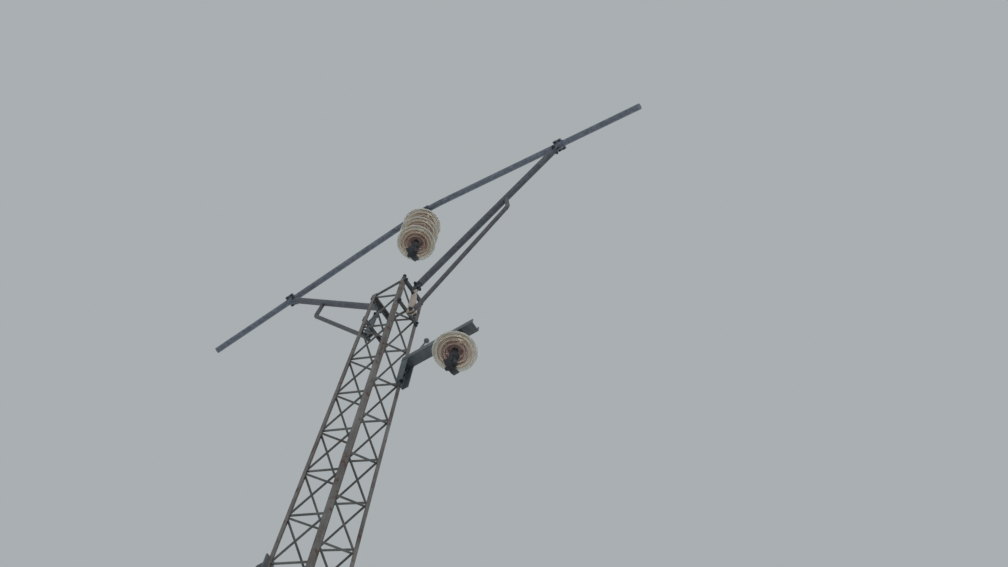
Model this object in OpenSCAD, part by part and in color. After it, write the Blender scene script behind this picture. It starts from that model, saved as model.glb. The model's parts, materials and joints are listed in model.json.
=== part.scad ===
// Welded steel lattice mast with an arched tube crossarm, a side bracket and two hanging insulators.
// X runs along the crossarm, Y along the overhead line and Z up.
// The origin is the middle of the base plate's underside.

/* [Mast] */
// Height of the leg tops above the ground
mast_h = 10800; // [7000:100:13000]
// Outer width of the mast at the top, along the crossarm
top_w = 232; // [200:2:300]
// Outer depth of the mast at the top, along the line
top_d = 200; // [180:2:280]
// Outer width of the mast at the base plate
base_w = 484; // [380:4:640]
// Outer depth of the mast at the base plate
base_d = 408; // [320:4:600]
// Width of the flanges of a leg angle
leg_w = 25; // [25:1:40]
// Thickness of the flanges of a leg angle
leg_t = 3; // [3:0.5:6]

/* [Lacing] */
// Thickness of a lacing rod across its flats
rod_d = 12; // [8:1:14]
// Height of one full zigzag
lace_pitch = 412; // [320:4:560]
// Depth of the first bend below the leg tops
lace_top = 30; // [28:1:60]

/* [Base plate] */
// Width of the base plate along the crossarm
plate_w = 620; // [600:10:800]
// Depth of the base plate along the line
plate_d = 540; // [530:10:760]
// Thickness of the base plate
plate_t = 16; // [10:1:30]
// Distance of the anchor holes from the edges of the plate
anchor_edge = 35; // [25:1:50]
// Diameter of the anchor holes
anchor_d = 22; // [14:1:32]

/* [Crossarm] */
// Length of the arched tube between its tips, measured level
arch_span = 3420; // [2800:20:4400]
// Height of the crossing point of the two arms above the leg tops
arch_top = 1443; // [1300:5:1700]
// Height of the tips above the leg tops
arch_tip = 1008; // [880:4:1120]
// Outer diameter of the arched tube
arch_d = 40; // [32:1:50]
// Radius of the bend in the middle
arch_bend = 600; // [300:20:900]
// Distance of the strut joints from the middle
joint_x = 1095; // [900:5:1300]
// Outer diameter of the struts
strut_d = 42; // [32:1:48]
// Distance of the struts' lower bolts from the middle
strut_foot_x = 142; // [141:1:165]
// Height of the struts' lower bolts above the leg tops
strut_foot_z = 25; // [22:1:40]
// Outer diameter of the braces
brace_d = 27; // [20:1:32]
// Distance of the braces' lower bolts from the middle
brace_foot_x = 167; // [162:1:190]
// Depth of the braces' lower bolts below the leg tops
brace_foot_z = 357; // [320:1:420]
// Distance of the braces' bends from the middle
brace_bend_x = 751; // [640:3:850]
// Height of the braces' bends above the leg tops
brace_bend_z = 545; // [440:5:640]
// Distance of the place where a brace meets its strut from the middle
brace_top_x = 722; // [640:2:760]
// Radius of the bend of a brace
brace_bend = 55; // [40:1:80]

/* [Head fittings] */
// Height of the flat bars across the side faces
bar_h = 40; // [30:1:60]
// Thickness of the flat bars
bar_t = 8; // [5:0.5:12]
// Depth of the middle of the upper bars below the leg tops
bar_top = 23; // [22:1:30]
// Depth of the middle of the lower bars below the leg tops
bar_low = 320; // [250:2:340]
// Depth of the gussets' upper edges below the leg tops
gusset_top = 54; // [50:1:80]
// Distance of the gussets' upper corners from the middle
gusset_x = 158; // [145:1:180]
// Length of the gussets' edges beside the braces
gusset_run = 66; // [50:1:90]
// Radius of the lugs around their bolts
lug_r = 18; // [15:0.5:22]
// Thickness of one cheek of a lug
lug_t = 8; // [5:1:12]
// Radius of the lug bolts
bolt_r = 7; // [5:0.5:9]
// Thickness of the tongues between the cheeks
tongue_t = 10; // [8:1:16]
// Length of the saddles along the arched tube
saddle_l = 60; // [44:2:80]
// Width of the saddles across the arched tube
saddle_w = 78; // [66:2:100]
// Wall of the saddles and of the upper hanger round the tube
saddle_wall = 6; // [4:0.5:10]

/* [Side bracket] */
// Width of the bracket's channel section
chan_w = 65; // [55:1:90]
// Height of the channel's flanges
chan_h = 42; // [34:1:50]
// Thickness of the channel section
chan_t = 5.5; // [4:0.5:8]
// Depth of the arm's underside below the leg tops
arm_z = 850; // [700:2:950]
// Distance of the arm's outer end from the middle of the mast
arm_end = 610; // [560:2:760]
// Length of the bracket's foot along the leg
foot_l = 245; // [200:5:400]
// Distance of the side string from the middle of the mast
side_x = 498; // [440:2:520]
// Distance of the leaning pin's foot from the middle of the mast
pin_x = 157; // [155:1:220]
// Length of the leaning pin
pin_l = 200; // [120:5:240]
// Lean of the pin away from the mast, in degrees
pin_lean = 27.5; // [10:0.5:40]

/* [Insulators] */
// Number of discs in the middle string
disc_count = 3; // [2:1:4]
// Spacing of the discs
disc_pitch = 146; // [146:1:170]
// Diameter of the glass discs
disc_d = 255; // [230:1:280]
// Height of the middle string's pivot below its tube
top_drop = 50; // [40:1:70]
// Height of the side string's pivot below its arm
side_drop = 40; // [28:0.5:60]
// Length of the middle ball eye from its pivot to the first cap
top_eye = 91; // [60:1:110]
// Length of the side ball eye from its pivot to the cap
side_eye = 42; // [40:1:80]
// Length of the suspension clamps
clamp_l = 110; // [100:2:180]
// Radius of the clamps' conductor groove
groove_r = 5; // [4:0.5:7]

/* [Hidden] */
// Gap between two pieces that are welded, bolted or cemented together
seat = 0.3;
// Running gap round a pin that turns
run_gap = 0.4;
// Gap on each side of a tongue between its cheeks
cheek_gap = 1;
// Part of a turn used for round surfaces
fine = 64;
// Overlap that lets a cut pass its face
over = 1;
// Half length, height and root opening of a weld bead round a tube
bead_half = 3;
bead_h = 0.8;
bead_root = 0.6;

rod_r = rod_d / 2 / cos(30);
weld_over = 0.3;
weld_r = rod_r + 2;
weld_t = rod_d + 2 * weld_over;
lace_plane = leg_t + seat + weld_t / 2;
lace_inset = leg_t + seat + weld_r;
lace_shift = 3.4 * weld_r;
lace_floor = 30;
shaft_h = mast_h - plate_t;
lean_w = atan((base_w - top_w) / 2 / shaft_h);
lean_d = atan((base_d - top_d) / 2 / shaft_h);

arm_angle = atan((arch_top - arch_tip) / (arch_span / 2));
joint_z = arch_top - joint_x * tan(arm_angle);
joint = [joint_x, joint_z];
strut_foot = [strut_foot_x, strut_foot_z];
brace_foot = [brace_foot_x, -brace_foot_z];
brace_corner = [brace_bend_x, brace_bend_z];
strut_dir = (joint - strut_foot) / norm(joint - strut_foot);
brace_top = [brace_top_x, strut_foot_z + (brace_top_x - strut_foot_x) * strut_dir.y / strut_dir.x];
saddle_bore = arch_d / 2 + seat;
lug_reach = saddle_bore + saddle_wall + lug_r + 8;
strut_head = joint - strut_dir * lug_reach;
tongue_stand = lug_r + 5;
cheek_in = tongue_t / 2 + cheek_gap;
apex_z = arch_top - arch_bend * (1 / cos(arm_angle) - 1);

face_bar = seat;
face_gusset = face_bar + bar_t + seat;
cheek_boss = 1;
brace_dir = (brace_corner - brace_foot) / norm(brace_corner - brace_foot);
brace_side = brace_foot + (brace_d / 2 + 3) * [-brace_dir.y, brace_dir.x];

arm_y = half_d(mast_h - arm_z) - leg_w / 2;
arm_start = half_w(mast_h - arm_z) + seat;
knob_r = 16;
side_pos = [side_x, arm_y, mast_h - arm_z - side_drop];
top_pos = [0, 0, mast_h + apex_z - arch_d / 2 - top_drop];

eye_r = 17;
eye_t = 22;
pivot_r = 8;
pivot_cheek = 8;
hanger_plate = [70, 56, 5];
neck_r = 10;
ball_r = 16.5;
socket_lip = 8;
socket_depth = 21;
socket_gap = 1;
ball_h = 14;
cap_h = 80;
head_z = -40;
rim_r = disc_d / 2;
rim_z = -117;
link_z = -68;
strap_drop = 76;
strap_in = 19;
strap_t = 5;
strap_r = 16;
trunnion_r = 7;
body_w = 34;
cheek_w = 5;

anchor_z = mast_h - lace_top - 7 * lace_pitch;
anchor_plate = [8, 60, 110];
anchor_reach = 52;
anchor_eye_r = 22;
anchor_hole_r = 9;

// Outer half width and half depth of the mast at a height above the ground
function half_w(z) = base_w / 2 - (base_w - top_w) / 2 * (z - plate_t) / shaft_h;
function half_d(z) = base_d / 2 - (base_d - top_d) / 2 * (z - plate_t) / shaft_h;

// Steel plate under the four legs, with an anchor hole near each corner
module base_plate() {
    color("slategray") difference() {
        translate([-plate_w / 2, -plate_d / 2, 0]) cube([plate_w, plate_d, plate_t]);
        for (x = [-1, 1], y = [-1, 1])
            translate([x * (plate_w / 2 - anchor_edge), y * (plate_d / 2 - anchor_edge), -over])
                cylinder(h = plate_t + 2 * over, d = anchor_d, $fn = fine);
    }
}

// Section of an angle with its heel on the origin and its flanges towards a and b
module angle_section(a, b) {
    polygon([[0, 0], [a * leg_w, 0], [a * leg_w, b * leg_t], [a * leg_t, b * leg_t],
        [a * leg_t, b * leg_w], [0, b * leg_w]]);
}

// One leg, leaning inwards both ways and cut level at both ends
module leg(sx, sy) {
    color("rosybrown") intersection() {
        translate([sx * base_w / 2, sy * base_d / 2, plate_t])
            rotate([sy * lean_d, -sx * lean_w, 0])
                translate([0, 0, -leg_w])
                    linear_extrude(shaft_h + 2 * leg_w) angle_section(-sx, -sy);
        translate([-base_w, -base_d, plate_t]) cube([2 * base_w, 2 * base_d, shaft_h]);
    }
}

// One straight bar of the lacing between two bends
module lace_bar(a, b) {
    translate(a) rotate([0, atan2(b.x - a.x, b.z - a.z), 0])
        cylinder(h = norm(b - a), r = rod_r, $fn = 6);
}

// The zigzag of one face, with a weld at each bend: X along the face, Y inwards and Z up the face.
// The first bend is a depth of drop below the leg tops, on the side that first names.
module lacing(foot_half, head_half, lean, first, drop) {
    face_h = shaft_h / cos(lean);
    lace_count = floor((shaft_h - drop - lace_floor) / (lace_pitch / 2));
    function half_at(v) = foot_half + (head_half - foot_half) * v / face_h;
    function bend_v(i) = face_h - drop - i * lace_pitch / 2;
    function bend_at(i) =
        [first * (i % 2 == 0 ? 1 : -1) * (half_at(bend_v(i)) - lace_inset), lace_plane, bend_v(i)];
    color("dimgray") union() {
        for (i = [0 : lace_count - 1]) lace_bar(bend_at(i), bend_at(i + 1));
        for (i = [0 : lace_count])
            translate(bend_at(i)) rotate([90, 0, 0])
                cylinder(h = weld_t, r = weld_r, center = true, $fn = 12);
    }
}

// Lacing of the front face; the rear one mirrors it
module lacing_front() {
    translate([0, -base_d / 2, plate_t]) rotate([-lean_d, 0, 0])
        lacing(base_w / 2, top_w / 2, lean_d, -1, lace_top);
}

// Lacing of the left face, a little lower so that its bends pass the front one's; the right one mirrors it
module lacing_left() {
    translate([-base_w / 2, 0, plate_t]) rotate([0, lean_w, 0]) rotate([0, 0, -90])
        lacing(base_d / 2, top_d / 2, lean_w, 1, lace_top + lace_shift);
}

// Flat ring of four bars between the leg tops
module head_ring() {
    ring_w = top_w - 2 * (leg_t + seat);
    ring_d = top_d - 2 * (leg_t + seat);
    color("dimgray") translate([0, 0, mast_h - rod_d - 4]) linear_extrude(rod_d) difference() {
        square([ring_w, ring_d], center = true);
        square([ring_w - 2 * rod_d, ring_d - 2 * rod_d], center = true);
    }
}

// Stud with a nut on the ring's front right corner
module leg_top_stud() {
    stud_in = leg_t + seat + rod_d / 2;
    color("gray") translate([top_w / 2 - stud_in, stud_in - top_d / 2, mast_h - 4]) {
        cylinder(h = 62, r = 5, $fn = fine);
        translate([0, 0, 4 + seat]) cylinder(h = 14, r = 14, $fn = 6);
        translate([0, 0, 40]) cylinder(h = 12, r = 12, $fn = 6);
    }
}

// Straight round bar between two points of the XZ plane
module bar_xz(a, b, r) {
    translate([a.x, 0, a.y]) rotate([0, atan2(b.x - a.x, b.y - a.y), 0])
        cylinder(h = norm(b - a), r = r, $fn = fine);
}

// Round bar from a over a bend near b to c, in the XZ plane, with a weld bead at each end of the bend
module bent_bar(a, b, c, r, bend_r) {
    d1 = (b - a) / norm(b - a);
    d2 = (c - b) / norm(c - b);
    turn = acos(d1 * d2);
    cut = bend_r * tan(turn / 2);
    start = b - d1 * cut;
    finish = b + d2 * cut;
    side = d1.x * d2.y - d1.y * d2.x < 0 ? -1 : 1;
    centre = start + side * bend_r * [-d1.y, d1.x];
    from = atan2(start.y - centre.y, start.x - centre.x);
    trim = bead_root / bend_r * 180 / PI;
    bar_xz(a, start - d1 * bead_root, r);
    bar_xz(finish + d2 * bead_root, c, r);
    bar_xz(start - d1 * bead_half, start + d1 * bead_half, r + bead_h);
    bar_xz(finish - d2 * bead_half, finish + d2 * bead_half, r + bead_h);
    translate([centre.x, 0, centre.y]) rotate([90, 0, 0])
        rotate([0, 0, (side < 0 ? from - turn : from) + trim])
            rotate_extrude(angle = turn - 2 * trim, $fn = 4 * fine)
                translate([bend_r, 0]) circle(r = r, $fn = fine);
}

// The arched crossarm, two straight tubes welded to a bent one, with closed ends
module arch_tube() {
    color("lightsteelblue") translate([0, 0, mast_h])
        bent_bar([-arch_span / 2, arch_tip], [0, arch_top], [arch_span / 2, arch_tip],
            arch_d / 2, arch_bend);
}

// Flat tongue at a bolt, reaching along a direction into a tube
module tongue(p, dir, width, reach) {
    translate([p.x, 0, p.y]) rotate([0, atan2(dir.x, dir.y), 0]) difference() {
        union() {
            rotate([90, 0, 0]) cylinder(h = tongue_t, r = lug_r - 2, center = true, $fn = fine);
            translate([-width / 2, -tongue_t / 2, 0]) cube([width, tongue_t, reach]);
        }
        rotate([90, 0, 0])
            cylinder(h = tongue_t + 2 * over, r = bolt_r + run_gap, center = true, $fn = fine);
    }
}

// Strut of the right side, a tube with a bolted tongue at each end
module strut_right() {
    color("lightsteelblue") translate([0, 0, mast_h]) union() {
        bar_xz(strut_foot + strut_dir * tongue_stand, strut_head - strut_dir * tongue_stand,
            strut_d / 2);
        tongue(strut_foot, strut_dir, 2 * (lug_r - 2), tongue_stand + over);
        tongue(strut_head, -strut_dir, 2 * (lug_r - 2), tongue_stand + over);
    }
}

// Brace of the right side, bent once, with its upper end coped to the strut
module brace_right() {
    color("lightsteelblue") translate([0, 0, mast_h]) difference() {
        union() {
            bent_bar(brace_foot + brace_dir * tongue_stand, brace_corner, brace_top,
                brace_d / 2, brace_bend);
            tongue(brace_foot, brace_dir, brace_d - 4, tongue_stand + over);
        }
        bar_xz(strut_foot, joint, strut_d / 2 + seat);
    }
}

// Two cheeks and the bolt of a lug, reaching back from the bolt towards dir
module lug(p, dir, back) {
    translate([p.x, 0, p.y]) rotate([0, atan2(dir.x, dir.y), 0]) {
        for (s = [-1, 1]) {
            y0 = s > 0 ? cheek_in : -cheek_in - lug_t;
            translate([0, y0 + lug_t, 0]) rotate([90, 0, 0])
                cylinder(h = lug_t, r = lug_r, $fn = fine);
            translate([-lug_r, y0, 0]) cube([2 * lug_r, lug_t, back]);
        }
        rotate([90, 0, 0])
            cylinder(h = 2 * (cheek_in + lug_t + 4), r = bolt_r, center = true, $fn = fine);
    }
}

// Collar round the arched tube with bolting ears and the strut's upper lug
module saddle_right() {
    color("gray") translate([0, 0, mast_h]) difference() {
        union() {
            translate([joint.x, 0, joint.y]) rotate([0, arm_angle, 0]) {
                rotate([0, 90, 0]) cylinder(h = saddle_l, r = saddle_bore + saddle_wall,
                    center = true, $fn = fine);
                cube([saddle_l, saddle_w, 2 * saddle_wall], center = true);
            }
            lug(strut_head, strut_dir, lug_reach - saddle_bore / 2);
        }
        bar_xz(joint - 2 * saddle_l * [cos(arm_angle), -sin(arm_angle)],
            joint + 2 * saddle_l * [cos(arm_angle), -sin(arm_angle)], saddle_bore);
    }
}

// Frame of the right face: origin at the leg tops, X outwards and Z up the face
module on_right_face() {
    translate([top_w / 2, 0, mast_h]) rotate([0, -lean_w, 0]) children();
}

// Everything nearer to the mast than a distance from its right face
module right_face_side(distance) {
    on_right_face() translate([-top_w, -top_d, -2 * brace_foot_z])
        cube([top_w + distance, 2 * top_d, 3 * brace_foot_z]);
}

// Two flat bars bolted across the legs of the right face, the upper one with the strut's lower lug
module head_bars_right() {
    bar_mid = [top_w / 2 + bar_t, -bar_top];
    back = bar_mid - strut_foot;
    color("gray") union() {
        on_right_face() for (depth = [bar_top, bar_low]) {
            bar_l = 2 * half_d(mast_h - depth);
            translate([face_bar, -bar_l / 2, -depth - bar_h / 2]) cube([bar_t, bar_l, bar_h]);
        }
        difference() {
            translate([0, 0, mast_h]) lug(strut_foot, back / norm(back), norm(back) + 2 * bar_t);
            right_face_side(face_bar + 1);
        }
    }
}

// Gusset across both bars, which is also the front cheek of the brace's lower lug
module head_plate_right() {
    bar_mid = [top_w / 2 + bar_t, -bar_low];
    back = bar_mid - brace_foot;
    edge_end = brace_side + gusset_run * brace_dir;
    color("rosybrown") difference() {
        translate([0, 0, mast_h]) union() {
            translate([0, -cheek_in - cheek_boss, 0]) rotate([90, 0, 0])
                linear_extrude(lug_t - 2 * cheek_boss)
                    polygon([[0, -gusset_top], [gusset_x, -gusset_top], edge_end, brace_side,
                        brace_foot, brace_foot - [0, lug_r / 2], [0, brace_foot.y - lug_r / 2]]);
            lug(brace_foot, back / norm(back), norm(back) + 2 * bar_t);
        }
        right_face_side(face_gusset);
    }
}

// Two cheeks and the pivot bolt that a ball eye swings on, hanging from height up
module pivot_cheeks(up) {
    cheek_y = eye_t / 2 + cheek_gap;
    for (s = [-1, 1]) {
        y0 = s > 0 ? cheek_y : -cheek_y - pivot_cheek;
        translate([0, y0 + pivot_cheek, 0]) rotate([90, 0, 0])
            cylinder(h = pivot_cheek, r = eye_r - 1, $fn = fine);
        translate([1 - eye_r, y0, 0]) cube([2 * (eye_r - 1), pivot_cheek, up]);
    }
    rotate([90, 0, 0]) cylinder(h = 2 * (cheek_y + pivot_cheek + 5), r = pivot_r, center = true,
        $fn = fine);
}

// Collar on the middle of the arched tube with the upper pivot
module hanger_top() {
    bore = arch_d / 2 + 2 * seat + 0.3;
    axis_up = top_drop + arch_d / 2;
    color("gray") translate(top_pos) difference() {
        union() {
            translate([0, 0, axis_up]) rotate([0, 90, 0])
                cylinder(h = 40, r = bore + saddle_wall, center = true, $fn = fine);
            pivot_cheeks(axis_up);
        }
        translate([0, 0, axis_up]) rotate([0, 90, 0])
            cylinder(h = 3 * arch_d, r = bore, center = true, $fn = fine);
    }
}

// Small plate under the arm with the side string's pivot
module hanger_side() {
    color("gray") translate(side_pos) union() {
        pivot_cheeks(side_drop - seat - hanger_plate.z / 2);
        translate([-hanger_plate.x / 2, -hanger_plate.y / 2, side_drop - seat - hanger_plate.z])
            cube(hanger_plate);
    }
}

// Channel section: web on the X axis, flanges towards +Y
module channel_section() {
    difference() {
        translate([-chan_w / 2, 0]) square([chan_w, chan_h]);
        translate([chan_t - chan_w / 2, chan_t]) square([chan_w - 2 * chan_t, chan_h]);
    }
}

// Upright channel bolted to the outer side of the rear right leg, cut level under the arm
module bracket_foot() {
    color("dimgray") difference() {
        translate([0, arm_y, 0]) on_right_face() translate([seat, 0, -arm_z - foot_l])
            linear_extrude(foot_l + chan_h) rotate(-90) channel_section();
        translate([0, 0, mast_h - arm_z]) cube([base_w, base_d, 2 * chan_h]);
    }
}

// Level channel of the arm, open upwards
module bracket_arm() {
    color("dimgray") translate([arm_start, arm_y, mast_h - arm_z])
        rotate([90, 0, 90]) linear_extrude(arm_end - arm_start) channel_section();
}

// Leaning pin with a knob, in a hexagonal foot on the arm
module arm_pin() {
    color("dimgray") translate([pin_x, arm_y, mast_h - arm_z + chan_t]) {
        cylinder(h = 10, r = 12, $fn = 6);
        translate([0, 0, 5]) rotate([0, pin_lean, 0]) {
            cylinder(h = pin_l, r = 5, $fn = fine);
            translate([0, 0, pin_l]) sphere(r = knob_r, $fn = fine);
        }
    }
}

// Plate with an eye on the front left leg
module anchor_bracket() {
    color("dimgray") translate([-half_w(anchor_z), -half_d(anchor_z) + leg_w / 2, anchor_z])
        rotate([0, lean_w, 0]) translate([-seat, 0, 0]) difference() {
            union() {
                translate([-anchor_plate.x, -anchor_plate.y / 2, -anchor_plate.z / 2])
                    cube(anchor_plate);
                translate([-anchor_reach, 0, 0]) cylinder(h = 12, r = anchor_eye_r, center = true,
                    $fn = fine);
                translate([-anchor_reach, -anchor_eye_r, -6]) cube([anchor_reach, 2 * anchor_eye_r, 12]);
            }
            translate([-anchor_reach, 0, 0]) cylinder(h = 20, r = anchor_hole_r, center = true,
                $fn = fine);
        }
}

// Solid of revolution from points of radius and height
module turned(points) {
    rotate_extrude($fn = fine) polygon(points);
}

// Ball under a neck; z is the cap top that it hangs in
module ball(z) {
    shoulder = z - socket_lip - seat;
    turned([[0, shoulder + over], [neck_r, shoulder + over], [neck_r, shoulder],
        [ball_r, shoulder - 3], [ball_r, shoulder - ball_h + 5], [ball_r - 5, shoulder - ball_h],
        [0, shoulder - ball_h]]);
}

// Space of a socket under a cap top at height 0, open to one side
module socket_space() {
    translate([0, 0, -socket_lip - over]) cylinder(h = socket_lip + 2 * over,
        r = neck_r + socket_gap, $fn = fine);
    translate([0, 0, -socket_lip - socket_depth]) cylinder(h = socket_depth,
        r = ball_r + socket_gap, $fn = fine);
    translate([-neck_r - socket_gap, 0, -socket_lip - over])
        cube([2 * (neck_r + socket_gap), cap_h, socket_lip + 2 * over]);
    translate([-ball_r - socket_gap, 0, -socket_lip - socket_depth])
        cube([2 * (ball_r + socket_gap), cap_h, socket_depth]);
}

// Iron cap with its top at height 0
module cap() {
    color("dimgray") difference() {
        turned([[0, 0], [27, 0], [31, -4], [33, -12], [33, -32], [37, -44], [45, -58], [49, -70],
            [49, -cap_h], [41 + seat, -cap_h], [39 + seat, -62], [33 + seat, -46], [28, seat + head_z],
            [0, seat + head_z]]);
        socket_space();
    }
}

// Glass disc with its ribs, hung under a cap top at height 0
module shell() {
    color("burlywood") turned([[0, head_z], [28, head_z], [33, -46.4], [39, -62.2], [41, -80],
        [41, -84], [54, -86], [82, -92], [rim_r - 22, -99], [rim_r - 8, -106], [rim_r - 1.5, -112],
        [rim_r, rim_z], [rim_r - 1.5, -121], [rim_r - 5.5, -122], [rim_r - 8.5, -118],
        [rim_r - 11, -110], [rim_r - 17, -107], [106, -108], [104, -124], [102, -127], [99.5, -127],
        [98, -124], [96.5, -104], [90, -102], [84, -103], [82.5, -130], [80.5, -133], [78, -133],
        [76, -130], [74, -100], [68, -98], [62, -99], [60, -134], [58, -137], [55, -137],
        [53, -134], [50, -98], [40, -97], [30, -100], [24, -103], [20, -103], [20, head_z - 13.6],
        [0, head_z - 13.6]]);
}

// Pin with its cement, hung under a cap top at height 0
module pin() {
    foot = -disc_pitch - socket_lip - seat;
    color("gray") union() {
        turned([[0, head_z - 14], [20 - seat, head_z - 14], [20 - seat, -101], [neck_r + 3, -104],
            [neck_r, -108], [neck_r, foot + over], [0, foot + over]]);
        ball(-disc_pitch);
    }
}

// Eye on the pivot at height 0 with a ball for a cap top at depth drop
module ball_eye(drop) {
    color("gray") difference() {
        union() {
            rotate([90, 0, 0]) cylinder(h = eye_t, r = eye_r, center = true, $fn = fine);
            translate([0, 0, -drop - socket_lip]) cylinder(h = drop + socket_lip, r = neck_r,
                $fn = fine);
            ball(-drop);
        }
        rotate([90, 0, 0]) cylinder(h = 2 * eye_t, r = pivot_r + run_gap, center = true,
            $fn = fine);
    }
}

// Socket that takes the last ball, with a tongue below
module socket_eye() {
    color("gray") difference() {
        union() {
            turned([[0, 0], [24, 0], [27, -4], [28, -30], [22, -40], [12, -46], [0, -46]]);
            translate([-7, -strap_r, link_z]) cube([14, 2 * strap_r, -link_z - 38]);
            translate([0, 0, link_z]) rotate([0, 90, 0]) cylinder(h = 14, r = strap_r,
                center = true, $fn = fine);
        }
        socket_space();
        translate([0, 0, link_z]) rotate([0, 90, 0]) cylinder(h = 4 * strap_r,
            r = bolt_r + run_gap, center = true, $fn = fine);
    }
}

// Two straps on the socket eye's bolt, with the clamp's bearing holes below
module straps() {
    color("gray") translate([0, 0, link_z]) difference() {
        union() {
            for (s = [-1, 1]) {
                x0 = s > 0 ? strap_in : -strap_in - strap_t;
                translate([x0, -strap_r, -strap_drop]) cube([strap_t, 2 * strap_r, strap_drop]);
                for (z = [0, -strap_drop])
                    translate([x0, 0, z]) rotate([0, 90, 0])
                        cylinder(h = strap_t, r = strap_r, $fn = fine);
                translate([s > 0 ? 7.5 : -strap_in - over, 0, 0]) rotate([0, 90, 0])
                    cylinder(h = strap_in - 7.5 + over, r = 11, $fn = fine);
            }
            rotate([0, 90, 0]) cylinder(h = 2 * (strap_in + strap_t + 5), r = bolt_r,
                center = true, $fn = fine);
        }
        translate([0, 0, -strap_drop]) rotate([0, 90, 0]) cylinder(h = 4 * strap_in,
            r = trunnion_r + run_gap, center = true, $fn = fine);
    }
}

// Boat of the suspension clamp, with its trunnions on the X axis
module clamp_body() {
    half = clamp_l / 2;
    color("gray") difference() {
        union() {
            translate([-body_w / 2, 0, 0]) rotate([90, 0, 90]) linear_extrude(body_w)
                polygon([[-half, -seat / 2], [-half + 4, -8], [-half * 0.6, -20], [-half * 0.25, -26],
                    [half * 0.25, -26], [half * 0.6, -20], [half - 4, -8], [half, -seat / 2]]);
            for (s = [-1, 1])
                translate([s > 0 ? body_w / 2 - cheek_w : -body_w / 2, -13, -over])
                    cube([cheek_w, 26, 10]);
            for (s = [-1, 1])
                translate([s > 0 ? body_w / 2 - cheek_w : -strap_in - strap_t - 3, 0, 0])
                    rotate([0, 90, 0]) cylinder(h = strap_in + strap_t + 3 - body_w / 2 + cheek_w,
                        r = trunnion_r, $fn = fine);
        }
        rotate([90, 0, 0]) cylinder(h = 2 * clamp_l, r = groove_r, center = true, $fn = fine);
    }
}

// Keeper that closes the groove from above
module clamp_keeper() {
    keeper_w = body_w - 2 * cheek_w - 2 * seat;
    color("gray") difference() {
        translate([-keeper_w / 2, 0, 0]) rotate([90, 0, 90]) linear_extrude(keeper_w)
            polygon([[-40, seat / 2], [-40, 6], [-26, 13], [26, 13], [40, 6], [40, seat / 2]]);
        rotate([90, 0, 0]) cylinder(h = clamp_l, r = groove_r, center = true, $fn = fine);
    }
}

// Places of a string's pieces below its pivot
module at_disc(pos, eye, i) {
    translate(pos - [0, 0, eye + i * disc_pitch]) children();
}
module at_trunnion(pos, eye, discs) {
    translate(pos + [0, 0, link_z - strap_drop - eye - discs * disc_pitch]) children();
}

base_plate();
leg(-1, -1);  // leg_front_left
leg(1, -1);  // leg_front_right
leg(-1, 1);  // leg_rear_left
leg(1, 1);  // leg_rear_right
lacing_front();
mirror([0, 1, 0]) lacing_front();  // lacing_rear
lacing_left();
mirror([1, 0, 0]) lacing_left();  // lacing_right
head_ring();
leg_top_stud();
arch_tube();
mirror([1, 0, 0]) strut_right();  // strut_left
strut_right();
mirror([1, 0, 0]) brace_right();  // brace_left
brace_right();
mirror([1, 0, 0]) saddle_right();  // saddle_left
saddle_right();
mirror([1, 0, 0]) head_bars_right();  // head_bars_left
head_bars_right();
mirror([1, 0, 0]) head_plate_right();  // head_plate_left
head_plate_right();
hanger_top();
hanger_side();
bracket_foot();
bracket_arm();
arm_pin();
anchor_bracket();
translate(top_pos) ball_eye(top_eye);  // top_ball_eye
for (i = [0 : disc_count - 1]) at_disc(top_pos, top_eye, i) cap();  // top_caps
for (i = [0 : disc_count - 1]) at_disc(top_pos, top_eye, i) shell();  // top_shells
for (i = [0 : disc_count - 1]) at_disc(top_pos, top_eye, i) pin();  // top_pins
at_disc(top_pos, top_eye, disc_count) socket_eye();  // top_socket_eye
at_disc(top_pos, top_eye, disc_count) straps();  // top_straps
at_trunnion(top_pos, top_eye, disc_count) clamp_body();  // top_clamp_body
at_trunnion(top_pos, top_eye, disc_count) clamp_keeper();  // top_clamp_keeper
translate(side_pos) ball_eye(side_eye);  // side_ball_eye
at_disc(side_pos, side_eye, 0) cap();  // side_cap
at_disc(side_pos, side_eye, 0) shell();  // side_shell
at_disc(side_pos, side_eye, 0) pin();  // side_pin
at_disc(side_pos, side_eye, 1) socket_eye();  // side_socket_eye
at_disc(side_pos, side_eye, 1) straps();  // side_straps
at_trunnion(side_pos, side_eye, 1) clamp_body();  // side_clamp_body
at_trunnion(side_pos, side_eye, 1) clamp_keeper();  // side_clamp_keeper
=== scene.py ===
"""Dresses the lattice mast: steel and glass finishes, round lacing rods, bolts, welds and split pins."""

import json
import math
from itertools import product
from types import SimpleNamespace

import bmesh
import bpy
from bpy.props import FloatProperty, FloatVectorProperty, IntProperty, PointerProperty
from mathutils import Matrix, Vector


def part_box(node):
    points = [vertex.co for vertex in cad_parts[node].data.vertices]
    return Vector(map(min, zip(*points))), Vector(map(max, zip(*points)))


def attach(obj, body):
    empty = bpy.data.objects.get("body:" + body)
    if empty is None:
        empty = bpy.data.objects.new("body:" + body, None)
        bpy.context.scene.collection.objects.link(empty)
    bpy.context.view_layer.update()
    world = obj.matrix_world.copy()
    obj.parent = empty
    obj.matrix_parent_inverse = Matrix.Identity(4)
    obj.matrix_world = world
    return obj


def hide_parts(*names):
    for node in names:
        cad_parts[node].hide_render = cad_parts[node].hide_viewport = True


bl_info = {
    "name": "Lattice Mast Finishes",
    "version": (1, 0, 0),
    "blender": (4, 5, 0),
    "location": "3D View > Sidebar > Mast",
    "description": "Finishes and small hardware for a lattice mast with an arched crossarm",
    "category": "Object",
}

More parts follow.
